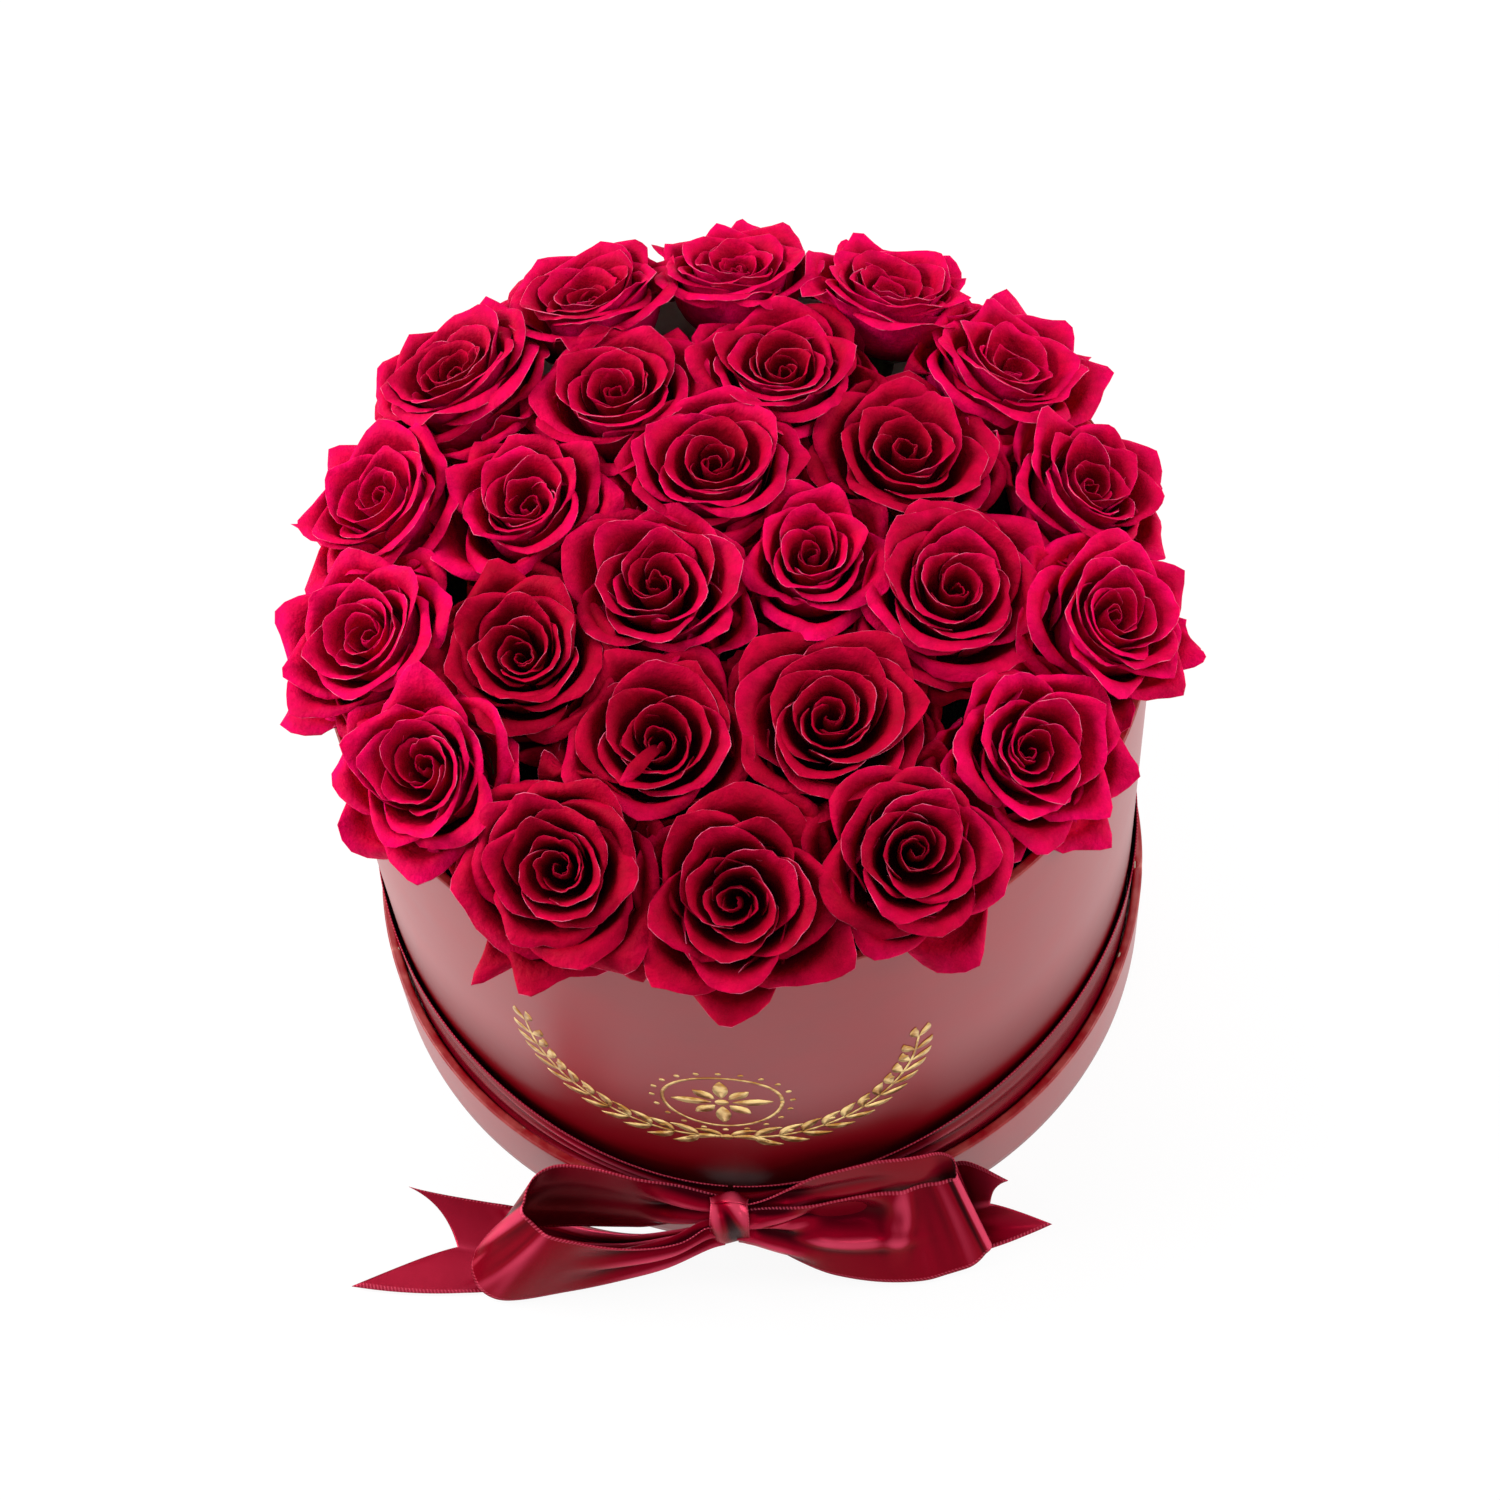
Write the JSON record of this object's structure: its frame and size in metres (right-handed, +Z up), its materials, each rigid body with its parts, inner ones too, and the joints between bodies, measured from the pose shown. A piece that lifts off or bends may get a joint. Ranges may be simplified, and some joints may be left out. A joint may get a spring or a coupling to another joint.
{
  "type": "flower box",
  "caption": "Round paper-wrapped flower box filled with preserved roses, standing in its upturned lid and tied with a satin ribbon bow.",
  "frame": {"origin": "centre of the lid's outer face, which lies on the table because the lid is upturned under the box", "axes": "+Z up through the middle of the box, -Y towards the bow and the ornament, +X to the right of someone who faces the bow"},
  "size_m": [0.2432, 0.2621, 0.2214],
  "materials": {
    "wrap_paper": "satin",
    "grey_card": "matte",
    "lining_paper": "matte",
    "dry_foam": "matte",
    "stem_green": "matte",
    "calyx_green": "matte",
    "rose_petal": "matte",
    "satin_ribbon": "satin"
  },
  "bodies": {
    "lid": {"lid_cover_paper": "wrap_paper", "lid_disc": "grey_card", "lid_wall": "grey_card", "lid_wrap": "wrap_paper", "lid_floor_paper": "lining_paper"},
    "box": {"box_foot_paper": "wrap_paper", "box_base": "grey_card", "box_wall": "grey_card", "box_wrap": "wrap_paper", "box_lining": "lining_paper", "foam_block": "dry_foam", "rose_stems": "stem_green", "rose_calyxes": "calyx_green", "rose_outer_01": "rose_petal", "rose_outer_02": "rose_petal", "rose_outer_03": "rose_petal", "rose_outer_04": "rose_petal", "rose_outer_05": "rose_petal", "rose_outer_06": "rose_petal", "rose_outer_07": "rose_petal", "rose_outer_08": "rose_petal", "rose_outer_09": "rose_petal", "rose_outer_10": "rose_petal", "rose_outer_11": "rose_petal", "rose_outer_12": "rose_petal", "rose_outer_13": "rose_petal", "rose_outer_14": "rose_petal", "rose_middle_01": "rose_petal", "rose_middle_02": "rose_petal", "rose_middle_03": "rose_petal", "rose_middle_04": "rose_petal", "rose_middle_05": "rose_petal", "rose_middle_06": "rose_petal", "rose_middle_07": "rose_petal", "rose_middle_08": "rose_petal", "rose_centre_01": "rose_petal", "rose_centre_02": "rose_petal", "rose_centre_03": "rose_petal", "ribbon_band": "satin_ribbon", "bow_knot": "satin_ribbon", "bow_loop_left": "satin_ribbon", "bow_loop_right": "satin_ribbon", "bow_tail_left": "satin_ribbon", "bow_tail_right": "satin_ribbon"}
  },
  "joints": [
    {"name": "box_lift", "type": "slide", "parent": "lid", "child": "box", "axis": [0, 0, 1], "range_m": [0, 0.06]}
  ]
}
